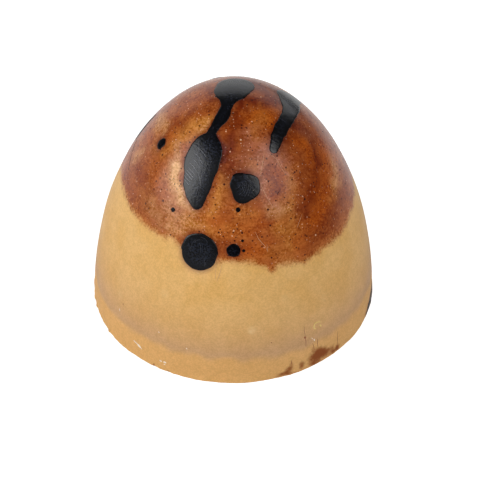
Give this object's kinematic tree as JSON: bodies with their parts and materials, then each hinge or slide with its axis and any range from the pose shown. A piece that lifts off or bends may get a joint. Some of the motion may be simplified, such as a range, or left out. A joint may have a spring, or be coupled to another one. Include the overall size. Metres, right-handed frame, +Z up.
{
  "type": "filled chocolate bonbon",
  "caption": "Tall domed filled chocolate bonbon with a caramel-coloured shell, a swirled brown coat over its top and black coloured drips and drops.",
  "frame": {"origin": "centre of the flat base, on the surface that the bonbon rests on", "axes": "+Z up through the dome's tip, -Y towards the shown face, +X to the right of the shown face"},
  "size_m": [0.028, 0.028, 0.0248],
  "materials": {
    "caramel_chocolate": "moulded caramel-coloured chocolate, satin gloss, with a thin swirled brown coat of coloured cocoa butter over the upper dome",
    "black_cocoa_butter": "thin black coloured cocoa butter, satin gloss with faint brushed lines"
  },
  "bodies": {
    "root": {"bonbon": "caramel_chocolate"}
  },
  "joints": []
}
